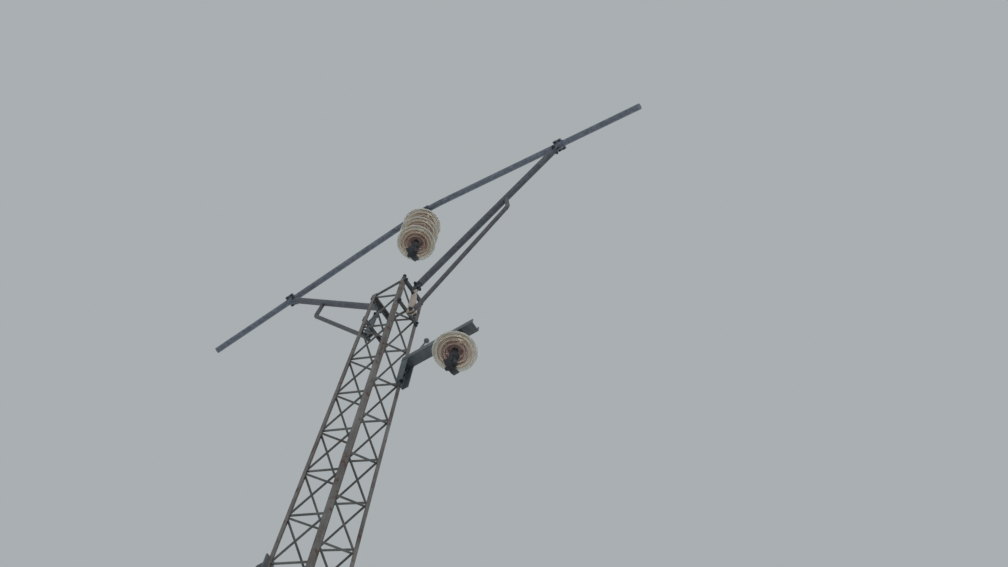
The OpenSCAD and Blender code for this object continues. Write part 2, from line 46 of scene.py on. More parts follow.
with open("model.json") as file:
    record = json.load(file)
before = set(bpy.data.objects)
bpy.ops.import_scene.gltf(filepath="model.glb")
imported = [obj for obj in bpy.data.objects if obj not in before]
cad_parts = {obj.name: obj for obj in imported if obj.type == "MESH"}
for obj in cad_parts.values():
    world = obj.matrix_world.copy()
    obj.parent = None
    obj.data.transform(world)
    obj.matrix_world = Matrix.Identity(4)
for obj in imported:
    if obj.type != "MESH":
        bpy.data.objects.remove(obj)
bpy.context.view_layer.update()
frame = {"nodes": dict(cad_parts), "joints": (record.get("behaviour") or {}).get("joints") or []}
NODES = frame["nodes"]


# ---------------- fixed values


def corners(x, y):
    """Four places round a middle."""
    return tuple(product((-x, x), (-y, y)))


UP, DOWN, BACK = Vector((0, 0, 1)), Vector((0, 0, -1)), Vector((0, -1, 0))
ALONG_LINE, ALONG_ARM = Vector((0, 1, 0)), Vector((1, 0, 0))
SIDES = (-1, 1)

# Sizes and places of the small pieces, in metres
PART_GAP = 0.0003  # between pieces that are joined
WELD_LIFT = 0.0004  # of a weld's middle from the steel
SEAM_STEP = 0.006  # from ripple to ripple of a seam
HIGH_LUG_SEAM, LOW_LUG_SEAM = 0.017, 0.015  # half lengths of the welds beside the lugs
ARM_SEAM = (0.004, 0.040)  # ends of the weld under the arm, from the arm's root
GUSSET_SHIFT, GUSSET_HALF = 0.010, 0.003  # how far in front of its lug, and half its thickness
SADDLE_BOLTS, SADDLE_HALF = corners(0.017, 0.033), 0.006  # along and across the arch, half the ears' height
FOOT_BOLTS = (0.045, 0.122, 0.200)  # depths below the arm's underside
HANGER_BOLTS, HANGER_PLATE = corners(0.026, 0.0195), 0.005  # round the pivot, and the plate's thickness
ANCHOR_BOLTS, ANCHOR_FRONT = (-0.038, 0.038), 0.0083  # from the bracket's middle, and its front from the face
STRAP_EYE = 0.016  # depth of the upper bolt below the tops of the straps
PIVOT_REACH, STRAP_REACH, TRUNNION_REACH = 0.020, 0.024, 0.0245  # of a bolt's ends from its middle
KEEPER_STUDS, KEEPER_TOP, KEEPER_FOOT = corners(0.0078, 0.0095), 0.013, -0.026  # from the trunnion
CAP_PIN, SOCKET_PIN = (0.033, 0.022), (0.0276, 0.020)  # out from the axis, and below the iron's top

# Sides, radius, height and foot of a bolt end's washer, hexagon and crown, as shares of the shank
BOLT_RINGS = ((24, 1.02, 0.16, 0.0), (6, 0.87, 0.72, 0.16), (18, 0.72, 0.06, 0.88))
THREAD_SIDES, THREAD_RADIUS, THREAD_FOOT = 14, 0.48, 0.90
SHANK_STAND, SHORT_STAND, LONG_STAND = 0.5, 0.2, 1.2  # how far a shank stands out, in shanks
PIN_LEG_SIDES, PIN_LEG_WIDTH, PIN_LEG_SUNK = 10, 1.6, -0.8  # a split pin's leg, in wires and in legs
RING_POINTS, WIRE_SIDES, BEND_POINTS = 20, 8, 6
SMOOTH_BELOW = math.radians(35.0)

# Tones of the finishes
CHALK, MOTTLE, DEEP_RUST = (0.75, 0.75, 0.75, 1), (0.6, 0.6, 0.6, 1), (0.05, 0.028, 0.018, 1)
DARK_CRYSTAL, PALE_CRYSTAL, BLOOM = (0.72, 0.72, 0.72, 1), (1.15, 1.15, 1.15, 1), (0.34, 0.36, 0.38, 1)
DUST, LIGHT_TINT, GREY = (0.55, 0.47, 0.38, 1), (0.93, 0.97, 1.0, 1), (0.2, 0.2, 0.2, 1)
PAINT_FADE, PAINT_MOTTLE = 0.12, 0.6  # shares of the faded and the mottled paint
RUST_FREE, RUST_REACH, RUST_EDGE = 0.78, 0.4, 0.07  # where rust starts, how far its amount moves that
PAINT_STREAKS, ZINC_STREAKS, STREAK_SQUASH = 45.0, 30.0, 0.06  # noise scales, and the squash along the height
RELIEF, GLASS_RELIEF = 0.001, 0.002  # depths of the bumps
GLASS_RIBS, GLASS_RIM = (0.40, 0.68), (0.78, 0.96)  # shares of the radius where the glass changes tone

# The camera's place and its right, down and ahead directions, solved from the lattice in the photograph
CAMERA_PLACE = (3.7161, -3.0227, 1.2881)
CAMERA_RIGHT = Vector((0.8345668, 0.5443440, 0.0847811))
CAMERA_DOWN = Vector((-0.4655641, 0.7791558, -0.4197217))
CAMERA_AHEAD = Vector((-0.2945307, 0.3108148, 0.9036846))
SENSOR_MM, CLIP_END, FLOOR_SIZE = 36.0, 200.0, 60

# Place, size, watts and aim of each lamp
LAMPS = {
    "key_light": ((10, -6, 19), 7.0, 420, (0, 0, 10)),
    "side_light": ((-9, -7, 9), 7.0, 130, (0, 0, 9)),
    "back_light": ((-3, 12, 14), 8.0, 160, (0, 0, 9)),
}


# ---------------- settings


def number(name, text, default, **more):
    return FloatProperty(name=name, description=text, default=default, **more)


def metres(name, text, default):
    return number(name, text, default, min=0.0, unit="LENGTH")


def colour(name, text, tone):
    return FloatVectorProperty(
        name=name, description=text, default=(*tone, 1.0), size=4, min=0.0, max=1.0, subtype="COLOR"
    )


def place(name, text, default):
    return FloatVectorProperty(name=name, description=text, default=default, size=2, unit="LENGTH")


class MAST_PG_frame(bpy.types.PropertyGroup):
    """Section of the leg angles"""

    flange: metres("Flange", "Width of a leg angle's flanges", 0.025)
    wall: metres("Wall", "Thickness of a leg angle", 0.003)


class MAST_PG_steel(bpy.types.PropertyGroup):
    """Colours of the painted and galvanized steel"""

    leg: colour("Leg paint", "Weathered brown-grey paint of the leg angles", (0.088, 0.078, 0.071))
    lacing: colour("Lacing paint", "Weathered grey-green paint of the lacing", (0.060, 0.064, 0.058))
    arch: colour("Arch zinc", "Pale bluish zinc of the arched tube", (0.130, 0.152, 0.190))
    zinc: colour("Strut zinc", "Dull zinc of the struts", (0.078, 0.088, 0.108))
    brace: colour("Brace zinc", "Browner zinc of the braces", (0.084, 0.086, 0.094))
    fitting: colour("Fitting zinc", "Darker zinc of forged fittings", (0.046, 0.052, 0.058))
    primer: colour("Primer", "Pinkish tan primer of the right gusset", (0.400, 0.330, 0.275))
    # This dark colour also covers the left head plate, where it is painted shade
    bracket: colour("Bracket paint", "Dark blue-grey paint of the side bracket", (0.058, 0.080, 0.094))
    plate: colour("Base plate paint", "Grey paint of the base plate", (0.110, 0.110, 0.105))
    iron: colour("Cap iron", "Zinc-coated cast iron of the caps", (0.048, 0.048, 0.048))
    alloy: colour("Clamp alloy", "Cast alloy of the conductor clamps", (0.040, 0.045, 0.050))
    rust: colour("Rust", "Rust that shows through worn paint", (0.110, 0.048, 0.026))
    grime: colour("Grime", "Dark dirt of the weather side", (0.028, 0.028, 0.026))


class MAST_PG_glass(bpy.types.PropertyGroup):
    """Look of the insulator discs"""

    inner: colour("Thick glass", "Pinkish brown tone of the glass near the middle", (0.62, 0.43, 0.38))
    middle: colour("Ribbed glass", "Tan tone of the glass between the ribs", (0.84, 0.74, 0.62))
    rim: colour("Rim glass", "Clearer greenish tone of the glass at the rim", (0.90, 0.92, 0.86))
    radius: metres("Disc radius", "Radius over which the glass clears", 0.1275)


class MAST_PG_lacing(bpy.types.PropertyGroup):
    """Sizes of the lacing"""

    rod: metres("Rod diameter", "Diameter of a lacing rod", 0.012)
    pitch: metres("Pitch", "Height of one full zigzag", 0.412)
    top: metres("Top bend", "Depth of the front's first bend below the leg tops", 0.030)
    shift: metres("Side shift", "How much lower the side faces' bends are", 0.03036)
    floor: metres("Lowest bend", "Least height of the last bend above the base plate", 0.030)
    bend: metres("Bend radius", "Radius of the rod's centre line in a bend", 0.016)
    depth: metres("Depth", "Distance of the rod's middle from the outside of the face", 0.0096)
    inset: metres("Inset", "Distance of the outermost rod middle from the mast's corner", 0.01223)
    sides: IntProperty(name="Rod sides", description="Sides of the rod's section", default=10, min=6, max=24)


class MAST_PG_places(bpy.types.PropertyGroup):
    """Places of the bolted joints, as distances from the middle and heights above the leg tops"""

    strut_foot: place("Strut foot", "Lower bolt of a strut", (0.142, 0.025))
    strut_head: place("Strut head", "Upper bolt of a strut", (1.06145, 1.12433))
    brace_foot: place("Brace foot", "Lower bolt of a brace", (0.167, -0.357))
    saddle: place("Saddle", "Middle of a saddle on the arched tube", (1.095, 1.16445))
    gusset: place("Gusset bolt", "Bolt of a gusset", (0.139, -0.100))
    slope: number("Arm slope", "Slope of the arched tube", 0.24911, subtype="ANGLE")
    cheek: metres("Cheek", "Distance of a lug's outer side from its middle", 0.014)
    bar: metres("Bar front", "Distance of the flat bars' fronts from the side face", 0.0083)
    high_bar: metres("Upper bar", "Depth of the upper bars below the leg tops", 0.023)
    low_bar: metres("Lower bar", "Depth of the lower bars below the leg tops", 0.320)
    arm: metres("Arm", "Depth of the arm's underside below the leg tops", 0.850)
    web: metres("Channel web", "Thickness of the bracket's channel", 0.0055)
    disc: metres("Disc spacing", "Distance from disc to disc", 0.146)


class MAST_PG_bolts(bpy.types.PropertyGroup):
    """Shank diameters of the bolts"""

    pivot: metres("Pivot bolt", "Shank of the hanging pivots' bolts", 0.016)
    lug: metres("Lug bolt", "Shank of the lug, strap and trunnion bolts", 0.014)
    bracket: metres("Bracket bolt", "Shank of the bracket and gusset bolts", 0.012)
    bar: metres("Bar bolt", "Shank of the flat bars' bolts", 0.010)
    saddle: metres("Saddle bolt", "Shank of the saddles' bolts", 0.007)
    keeper: metres("Keeper bolt", "Shank of the clamp keepers' studs", 0.0042)


class MAST_PG_welds(bpy.types.PropertyGroup):
    """Sizes of the welds"""

    pad: metres("Lacing weld", "Radius of the weld at a bend of the lacing", 0.0105)
    pad_height: metres("Lacing weld height", "Height of the weld at a bend", 0.0025)
    seam: metres("Seam", "Half length of one ripple of a welded seam", 0.005)
    seam_height: metres("Seam height", "Height of a welded seam", 0.0028)


class MAST_PG_stage(bpy.types.PropertyGroup):
    """Camera, light and backdrop"""

    lens: number("Lens", "Focal length of the camera in millimetres", 62.01, min=10)
    sky: colour("Backdrop", "Colour of the plain backdrop", (0.400, 0.428, 0.445))
    floor: colour("Floor", "Colour of the pale floor", (0.60, 0.60, 0.59))
    fill: number("Fill light", "Strength of the light from all round", 0.85, min=0)
    key: number("Key light", "Strength of the broad lamps", 1.0, min=0)


GROUPS = {
    "mast_frame": MAST_PG_frame,
    "mast_steel": MAST_PG_steel,
    "mast_glass": MAST_PG_glass,
    "mast_lacing": MAST_PG_lacing,
    "mast_places": MAST_PG_places,
    "mast_bolts": MAST_PG_bolts,
    "mast_welds": MAST_PG_welds,
    "mast_stage": MAST_PG_stage,
}


# ---------------- node helpers

SOCKET_KINDS = {float: "Float", int: "Int", tuple: "Color"}


def new_tree(kind, name, inputs, outputs):
    """An empty tree whose sockets are given by default value, or by kind where they have none."""
    tree = bpy.data.node_groups.new(name, kind + "NodeTree")
    for in_out, sockets in (("INPUT", inputs), ("OUTPUT", outputs)):
        for label, default in sockets.items():
            has_kind = isinstance(default, str)
            socket_type = "NodeSocket" + (default if has_kind else SOCKET_KINDS[type(default)])
            socket = tree.interface.new_socket(label, in_out=in_out, socket_type=socket_type)
            if not has_kind:
                socket.default_value = default
    return tree, tree.nodes.new("NodeGroupInput").outputs, tree.nodes.new("NodeGroupOutput").inputs


def feed(socket, value):
    """Links an input to an output, or sets its value."""
    if isinstance(value, bpy.types.NodeSocket):
        socket.id_data.links.new(value, socket)
    else:
        socket.default_value = value


def feed_all(inputs, **values):
    for label, value in values.items():
        feed(inputs[label.replace("_", " ")], value)


def put(tree, kind, inputs=(), **settings):
    """Adds a node with its settings, and feeds its inputs."""
    node = tree.nodes.new(kind)
    for key, value in settings.items():
        setattr(node, key, value)
    for socket, value in dict(inputs).items():
        feed(node.inputs[socket], value)
    return node


def out(tree, kind, inputs=(), **settings):
    """Adds a node and returns its first output."""
    return put(tree, kind, inputs, **settings).outputs[0]


def tree_of(*values):
    return next(value.id_data for value in values if isinstance(value, bpy.types.NodeSocket))


def maths(operation, a, b=0.0):
    return out(tree_of(a, b), "ShaderNodeMath", {0: a, 1: b}, operation=operation)


def plus(a, b):
    return maths("ADD", a, b)


def minus(a, b):
    return maths("SUBTRACT", a, b)


def times(a, b):
    return maths("MULTIPLY", a, b)


def vector_maths(operation, a, b=(0.0, 0.0, 0.0), result="Vector"):
    return put(tree_of(a), "ShaderNodeVectorMath", {0: a, 1: b}, operation=operation).outputs[result]


def xyz(tree, **parts):
    return out(tree, "ShaderNodeCombineXYZ", parts)


def noise(vector, scale, detail=4.0, rough=0.6):
    inputs = {"Vector": vector, "Scale": scale, "Detail": detail, "Roughness": rough}
    return put(vector.id_data, "ShaderNodeTexNoise", inputs).outputs["Fac"]


def ramp(source, low, high):
    """Maps low..high to 0..1."""
    return out(source.id_data, "ShaderNodeMapRange", {"Value": source, "From Min": low, "From Max": high})


def mix_colour(factor, a, b, blend="MIX"):
    node = put(tree_of(factor, a, b), "ShaderNodeMix", data_type="RGBA", blend_type=blend)
    colours = [socket for socket in node.inputs if socket.type == "RGBA"]
    for socket, value in ((node.inputs["Factor"], factor), (colours[0], a), (colours[1], b)):
        feed(socket, value)
    return next(socket for socket in node.outputs if socket.type == "RGBA")


# ---------------- shader node groups

LOOK = {"Colour": "Color", "Roughness": "Float", "Height": "Float"}


def streak_group(name):
    """Dirt and rust that run down a surface: long vertical streaks broken up by noise."""
    inputs = {"Vector": "Vector", "Spacing": 40.0, "Amount": 0.4}
    tree, given, end = new_tree("Shader", name, inputs, {"Mask": "Float"})
    scale = (1.0, 1.0, STREAK_SQUASH)
    squash = out(tree, "ShaderNodeMapping", {"Vector": given["Vector"], "Scale": scale})
    fine = ramp(noise(squash, given["Spacing"], detail=5.0, rough=0.5), 0.45, 0.75)
    broad = ramp(noise(given["Vector"], 3.0, detail=3.0), 0.35, 0.65)
    feed(end["Mask"], times(times(fine, broad), given["Amount"]))
    return tree


def edge_group(name):
    """Wear along edges: where the bevelled normal leaves the true one."""
    inputs = {"Vector": "Vector", "Width": 0.004, "Amount": 1.0}
    tree, given, end = new_tree("Shader", name, inputs, {"Mask": "Float"})
    soft = out(tree, "ShaderNodeBevel", {"Radius": given["Width"]}, samples=4)
    true_normal = tree.nodes.new("ShaderNodeNewGeometry").outputs["Normal"]
    edge = ramp(minus(1.0, vector_maths("DOT_PRODUCT", soft, true_normal, "Value")), 0.01, 0.12)
    broken = ramp(noise(given["Vector"], 60.0), 0.35, 0.62)
    feed(end["Mask"], times(times(edge, broken), given["Amount"]))
    return tree


def paint_group(name):
    """Old paint: broad fading, rust blotches and pits, with height for a bump."""
    inputs = {
        "Vector": "Vector", "Paint": GREY, "Rust": GREY, "Grime": GREY,
        "Rust amount": 0.4, "Streaks": 0.0, "Edges": 0.0,
    }
    tree, given, end = new_tree("Shader", name, inputs, LOOK)
    vector, paint = given["Vector"], given["Paint"]
    pale = mix_colour(ramp(noise(vector, 5.0), 0.3, 0.75), paint, CHALK, "SCREEN")
    faded = mix_colour(PAINT_FADE, paint, pale)
    mottled = mix_colour(ramp(noise(vector, 45.0, detail=5.0), 0.35, 0.7), faded, MOTTLE, "MULTIPLY")
    old = mix_colour(PAINT_MOTTLE, faded, mottled)
    limit = minus(RUST_FREE, times(given["Rust amount"], RUST_REACH))
    spots = ramp(noise(vector, 14.0, detail=8.0, rough=0.68), limit, plus(limit, RUST_EDGE))
    rust_mask = maths("MAXIMUM", spots, given["Edges"])
    rust = mix_colour(noise(vector, 130.0), given["Rust"], DEEP_RUST)
    feed_all(
        end,
        Colour=mix_colour(given["Streaks"], mix_colour(rust_mask, old, rust), given["Grime"]),
        Roughness=plus(0.55, times(rust_mask, 0.3)),
        Height=plus(times(rust_mask, 0.6), times(noise(vector, 350.0, detail=3.0), 0.4)),
    )
    return tree


def zinc_group(name):
    """Hot-dip zinc: dull crystals, white bloom and dark handling marks."""
    inputs = {
        "Vector": "Vector", "Zinc": GREY, "Crystal scale": 90.0, "Bloom amount": 0.15,
        "Streaks": 0.0, "Grime": GREY,
    }
    tree, given, end = new_tree("Shader", name, inputs, LOOK)
    vector = given["Vector"]
    crystal = put(tree, "ShaderNodeTexVoronoi", {"Vector": vector, "Scale": given["Crystal scale"]})
    grey = out(tree, "ShaderNodeRGBToBW", {"Color": crystal.outputs["Color"]})
    crystals = mix_colour(ramp(grey, 0.1, 0.9), DARK_CRYSTAL, PALE_CRYSTAL)
    base = mix_colour(1.0, given["Zinc"], crystals, "MULTIPLY")
    bloom = ramp(noise(vector, 7.0, detail=6.0, rough=0.7), 0.52, 0.78)
    pale = mix_colour(times(bloom, given["Bloom amount"]), base, BLOOM)
    feed_all(
        end,
        Colour=mix_colour(given["Streaks"], pale, given["Grime"]),
        Roughness=plus(0.5, plus(times(bloom, 0.2), times(grey, 0.12))),
        Height=noise(vector, 220.0, detail=3.0),
    )
    return tree


# ---------------- materials


def blank_material(name):
    material = bpy.data.materials.new("mast_" + name)
    material.use_nodes = True
    tree = material.node_tree
    tree.nodes.clear()
    shader = put(tree, "ShaderNodeBsdfPrincipled")
    put(tree, "ShaderNodeOutputMaterial", {"Surface": shader.outputs[0]})
    return material, tree, shader, tree.nodes.new("ShaderNodeTexCoord").outputs["Object"]


def put_group(tree, name, **inputs):
    """Puts a shared shader group into a material."""
    node = put(tree, "ShaderNodeGroup", node_tree=shared_tree(name))
    feed_all(node.inputs, **inputs)
    return node.outputs


def worn_steel(name, group, streaks, spacing, bump, shine, edge=None, **tones):
    """A finish group with rain streaks, and worn edges where they are asked for."""
    material, tree, shader, where = blank_material(name)
    tones["Streaks"] = put_group(tree, "Rain streaks", Vector=where, Spacing=spacing, Amount=streaks)["Mask"]
    if edge is not None:
        tones["Edges"] = put_group(tree, "Edge wear", Vector=where, Width=0.003, Amount=edge)["Mask"]
    grime = tuple(bpy.context.scene.mast_steel.grime)
    look = put_group(tree, group, Vector=where, Grime=grime, **tones)
    relief = out(tree, "ShaderNodeBump", {"Height": look["Height"], "Strength": bump, "Distance": RELIEF})
    feed_all(shader.inputs, Base_Color=look["Colour"], Roughness=look["Roughness"], Normal=relief, **shine)
    return material


def painted(name, paint, rust, streaks=0.5, edge=0.8, bump=0.35):
    shine = {"Metallic": 0.0, "Specular_IOR_Level": 0.4}
    tones = {"Paint": tuple(paint), "Rust": tuple(bpy.context.scene.mast_steel.rust), "Rust_amount": rust}
    return worn_steel(name, "Old paint", streaks, PAINT_STREAKS, bump, shine, edge, **tones)


def zinc_coated(name, zinc, crystal, streaks=0.35, metallic=0.1, bump=0.2, bloom=0.08):
    shine = {"Metallic": metallic, "Specular_IOR_Level": 0.35}
    tones = {"Zinc": tuple(zinc), "Crystal_scale": crystal, "Bloom_amount": bloom}
    return worn_steel(name, "Dull zinc", streaks, ZINC_STREAKS, bump, shine, **tones)


def toughened_glass(name, axis):
    """Glass that clears from a pinkish brown middle to the rim, with faint flow lines and a little dust."""
    tones = bpy.context.scene.mast_glass
    material, tree, shader, where = blank_material(name)
    flat = vector_maths("MULTIPLY", vector_maths("SUBTRACT", where, (axis.x, axis.y, 0.0)), (1.0, 1.0, 0.0))
    wobble = times(minus(noise(where, 9.0, detail=2.0), 0.5), 0.03)
    radius = plus(vector_maths("LENGTH", flat, result="Value"), wobble)
    body = tuple(tones.inner)
    for tone, (start, end) in ((tones.middle, GLASS_RIBS), (tones.rim, GLASS_RIM)):
        body = mix_colour(ramp(radius, tones.radius * start, tones.radius * end), body, tuple(tone))
    cloud = noise(where, 14.0, detail=2.0)
    dust = ramp(cloud, 0.4, 0.8)
    feed_all(
        shader.inputs,
        Base_Color=mix_colour(times(dust, 0.2), body, DUST),
        Metallic=0.0,
        Transmission_Weight=0.6,
        IOR=1.45,
        Roughness=plus(0.3, times(dust, 0.10)),
        Normal=out(tree, "ShaderNodeBump", {"Height": cloud, "Strength": 0.03, "Distance": GLASS_RELIEF}),
    )
    return material


# How each finish is made, and its colour among the steel's settings
FINISHES = {
    "leg_paint": (painted, "leg", dict(rust=0.55, streaks=0.55)),
    "lacing_paint": (painted, "lacing", dict(rust=0.42, streaks=0.3, edge=0.0)),
    "arch_zinc": (zinc_coated, "arch", dict(crystal=60.0, bloom=0.18)),
    "tube_zinc": (zinc_coated, "zinc", dict(crystal=70.0, bloom=0.16)),
    "brace_zinc": (zinc_coated, "brace", dict(crystal=80.0, bloom=0.14)),
    "fitting_zinc": (zinc_coated, "fitting", dict(crystal=140.0, streaks=0.5)),
    "bolt_zinc": (zinc_coated, "fitting", dict(crystal=260.0, streaks=0.2, metallic=0.3)),
    "primer_paint": (painted, "primer", dict(rust=0.3, streaks=0.45, edge=0.6)),
    # The bracket's real dark paint, also used as painted shade on the left head plate
    "bracket_paint": (painted, "bracket", dict(rust=0.2, streaks=0.3, edge=0.35)),
    "plate_paint": (painted, "plate", dict(rust=0.5, streaks=0.2)),
    "cap_iron": (zinc_coated, "iron", dict(crystal=300.0, streaks=0.4, bump=0.5)),
    "clamp_alloy": (zinc_coated, "alloy", dict(crystal=400.0, streaks=0.3, metallic=0.3)),
    "weld_steel": (painted, "lacing", dict(rust=0.6, streaks=0.0, edge=0.0, bump=0.8)),
    "leg_weld": (painted, "leg", dict(rust=0.6, streaks=0.0, edge=0.0, bump=0.8)),
}


def finish(name):
    """A finish by its name, made at its first use."""
    made = bpy.data.materials.get("mast_" + name)
    if made:
        return made
    build, tone, values = FINISHES[name]
    return build(name, getattr(bpy.context.scene.mast_steel, tone), **values)


def give(material, *names):
    for name in names:
        for slot in NODES[name].material_slots:
            slot.material = material


def coat(finish_name, *names):
    give(finish(finish_name), *names)


# ---------------- geometry node trees


def new_grower(name, **inputs):
    """A Geometry Nodes tree that takes geometry and a material and hands geometry on."""
    named = {label.replace("_", " "): default for label, default in inputs.items()}
    sockets = {"Geometry": "Geometry", **named, "Material": "Material"}
    return new_tree("Geometry", name, sockets, {"Geometry": "Geometry"})


def finish_tree(tree, given, end, geometry):
    """Realize Instances and Set Material at the end of a tree."""
    real = out(tree, "GeometryNodeRealizeInstances", {"Geometry": geometry})
    feed(end[0], out(tree, "GeometryNodeSetMaterial", {"Geometry": real, "Material": given["Material"]}))
    return tree


def zigzag_tree(name):
    """A bent rod that runs from side to side, swept along a filleted zigzag."""
    tree, given, end = new_grower(
        name, Bends=53, Half_pitch=0.206, Top=0.03, Half_width=0.1, Taper=0.01,
        First_side=1.0, Bend_radius=0.016, Rod_radius=0.006, Sides=10,
    )
    pitch, bend = given["Half pitch"], given["Bend radius"]
    step = xyz(tree, Z=times(pitch, -1.0))
    line = out(tree, "GeometryNodeMeshLine", {"Count": given["Bends"], "Offset": step})
    index = out(tree, "GeometryNodeInputIndex")
    side = minus(1.0, times(maths("MODULO", index, 2.0), 2.0))
    depth = plus(given["Top"], times(index, pitch))
    half = plus(given["Half width"], times(depth, given["Taper"]))
    # A fillet cuts its corner short, so the corners lie that much further out
    slope = maths("DIVIDE", times(half, 2.0), pitch)
    hypot = maths("SQRT", plus(times(slope, slope), 1.0))
    corner = plus(half, times(minus(hypot, 1.0), bend))
    position = xyz(tree, X=times(times(side, given["First side"]), corner), Z=times(depth, -1.0))
    moved = out(tree, "GeometryNodeSetPosition", {"Geometry": line, "Position": position})
    path = out(tree, "GeometryNodeMeshToCurve", {"Mesh": moved})
    fillet = out(
        tree, "GeometryNodeFilletCurve", {"Curve": path, "Radius": bend, "Count": BEND_POINTS}, mode="POLY"
    )
    ring = circle(tree, given["Sides"], given["Rod radius"])
    rod = out(tree, "GeometryNodeCurveToMesh", {"Curve": fillet, "Profile Curve": ring, "Fill Caps": True})
    return finish_tree(tree, given, end, rod)


def circle(tree, points, radius):
    return out(tree, "GeometryNodeCurvePrimitiveCircle", {"Resolution": points, "Radius": radius})


def cylinder_at(sides, radius, depth, lift):
    """A cylinder whose foot stands at lift, along Z."""
    tree = radius.id_data
    body = out(tree, "GeometryNodeMeshCylinder", {"Vertices": sides, "Radius": radius, "Depth": depth})
    up = xyz(tree, Z=plus(times(depth, 0.5), lift))
    return out(tree, "GeometryNodeTransform", {"Geometry": body, "Translation": up})


def join(parts):
    node = parts[0].id_data.nodes.new("GeometryNodeJoinGeometry")
    for part in parts:
        feed(node.inputs[0], part)
    return node.outputs[0]


def aimed_instances(given, shape):
    """Puts the shape on every vertex, its Z along the vertex's axis."""
    tree = shape.id_data
    axis = put(tree, "GeometryNodeInputNamedAttribute", {"Name": "axis"}, data_type="FLOAT_VECTOR")
    aim = out(tree, "FunctionNodeAlignRotationToVector", {"Vector": axis.outputs["Attribute"]}, axis="Z")
    points = out(tree, "GeometryNodeMeshToPoints", {"Mesh": given["Geometry"]})
    return out(tree, "GeometryNodeInstanceOnPoints", {"Points": points, "Instance": shape, "Rotation": aim})


def bolt_tree(name):
    """A washer, a hexagon and a bit of shank, for a bolt head or a nut, sized by its shank."""
    tree, given, end = new_grower(name, Shank=0.016, Shank_stand=SHANK_STAND)
    shank = given["Shank"]
    parts = [
        cylinder_at(sides, times(shank, radius), times(shank, height), times(shank, foot))
        for sides, radius, height, foot in BOLT_RINGS
    ]
    stand = times(shank, given["Shank stand"])
    parts.append(cylinder_at(THREAD_SIDES, times(shank, THREAD_RADIUS), stand, times(shank, THREAD_FOOT)))
    return finish_tree(tree, given, end, aimed_instances(given, join(parts)))


def weld_tree(name):
    """A lumpy bead of weld metal on each vertex, flattened along its axis."""
    tree, given, end = new_grower(name, Length=0.014, Height=0.003, Seed=7)
    ball = out(tree, "GeometryNodeMeshIcoSphere", {"Radius": 1.0, "Subdivisions": 2})
    stretch = xyz(tree, X=given["Length"], Y=given["Length"], Z=given["Height"])
    pad = out(tree, "GeometryNodeTransform", {"Geometry": ball, "Scale": stretch})
    placed = out(tree, "GeometryNodeRealizeInstances", {"Geometry": aimed_instances(given, pad)})
    where = out(tree, "GeometryNodeInputPosition")
    ripple = put(
        tree, "ShaderNodeTexNoise",
        {"Vector": where, "Scale": 120.0, "Detail": 2.0, "W": given["Seed"]}, noise_dimensions="4D",
    )
    shake = vector_maths("SUBTRACT", ripple.outputs["Color"], (0.5, 0.5, 0.5))
    small = out(tree, "ShaderNodeVectorMath", {0: shake, "Scale": given["Height"]}, operation="SCALE")
    lumpy = out(tree, "GeometryNodeSetPosition", {"Geometry": placed, "Offset": small})
    return finish_tree(tree, given, end, lumpy)


def split_pin_tree(name):
    """A wire ring with a leg that goes into the iron, pointing out along each vertex's axis."""
    tree, given, end = new_grower(name, Ring_radius=0.0055, Wire_radius=0.0014, Leg=0.012)
    radius, wire = given["Ring radius"], given["Wire radius"]
    path, section = circle(tree, RING_POINTS, radius), circle(tree, WIRE_SIDES, wire)
    loop = out(tree, "GeometryNodeCurveToMesh", {"Curve": path, "Profile Curve": section})
    seat, turn = xyz(tree, Z=plus(radius, wire)), (math.pi / 2, 0.0, 0.0)
    upright = out(
        tree, "GeometryNodeTransform", {"Geometry": loop, "Translation": seat, "Rotation": turn}
    )
    length = given["Leg"]
    leg = cylinder_at(PIN_LEG_SIDES, times(wire, PIN_LEG_WIDTH), length, times(length, PIN_LEG_SUNK))
    return finish_tree(tree, given, end, aimed_instances(given, join([upright, leg])))


TREES = {
    "Rain streaks": streak_group,
    "Edge wear": edge_group,
    "Old paint": paint_group,
    "Dull zinc": zinc_group,
    "Lacing rod": zigzag_tree,
    "Hex bolt end": bolt_tree,
    "Weld pad": weld_tree,
    "Split pin": split_pin_tree,
}


def shared_tree(name):
    """A node tree by its name, built at its first use."""
    return bpy.data.node_groups.get(name) or TREES[name](name)


# ---------------- meshes


def link_object(name, data):
    """A new object in the scene's own collection."""
    item = bpy.data.objects.new(name, data)
    bpy.context.scene.collection.objects.link(item)
    return item


def grow(name, base, tree_name, **values):
    """Runs a tree on a mesh and returns the result as a plain mesh object."""
    tree = shared_tree(tree_name)
    carrier = link_object(name + "_carrier", base)
    modifier = carrier.modifiers.new("grow", "NODES")
    modifier.node_group = tree
    for item in tree.interface.items_tree:
        label = item.name.replace(" ", "_")
        if item.item_type == "SOCKET" and item.in_out == "INPUT" and label in values:
            modifier[item.identifier] = values[label]
    carrier.update_tag()
    graph = bpy.context.evaluated_depsgraph_get()
    mesh = bpy.data.meshes.new_from_object(carrier.evaluated_get(graph), depsgraph=graph)
    carrier.modifiers.remove(modifier)
    bpy.data.objects.remove(carrier)
    mesh.name = name
    return link_object(name, mesh)


def smooth_by_angle(mesh):
    mesh.shade_smooth()
    shape = bmesh.new()
    shape.from_mesh(mesh)
    for edge in shape.edges:
        edge.smooth = len(edge.link_faces) != 2 or edge.calc_face_angle(0.0) < SMOOTH_BELOW
    shape.to_mesh(mesh)
    shape.free()


def point_mesh(name, points):
    """Vertices with a direction each, from (place, direction) pairs."""
    mesh = bpy.data.meshes.new(name)
    mesh.from_pydata([place for place, _ in points], [], [])
    axis = mesh.attributes.new("axis", "FLOAT_VECTOR", "POINT")
    for i, (_, direction) in enumerate(points):
        axis.data[i].vector = direction
    return mesh


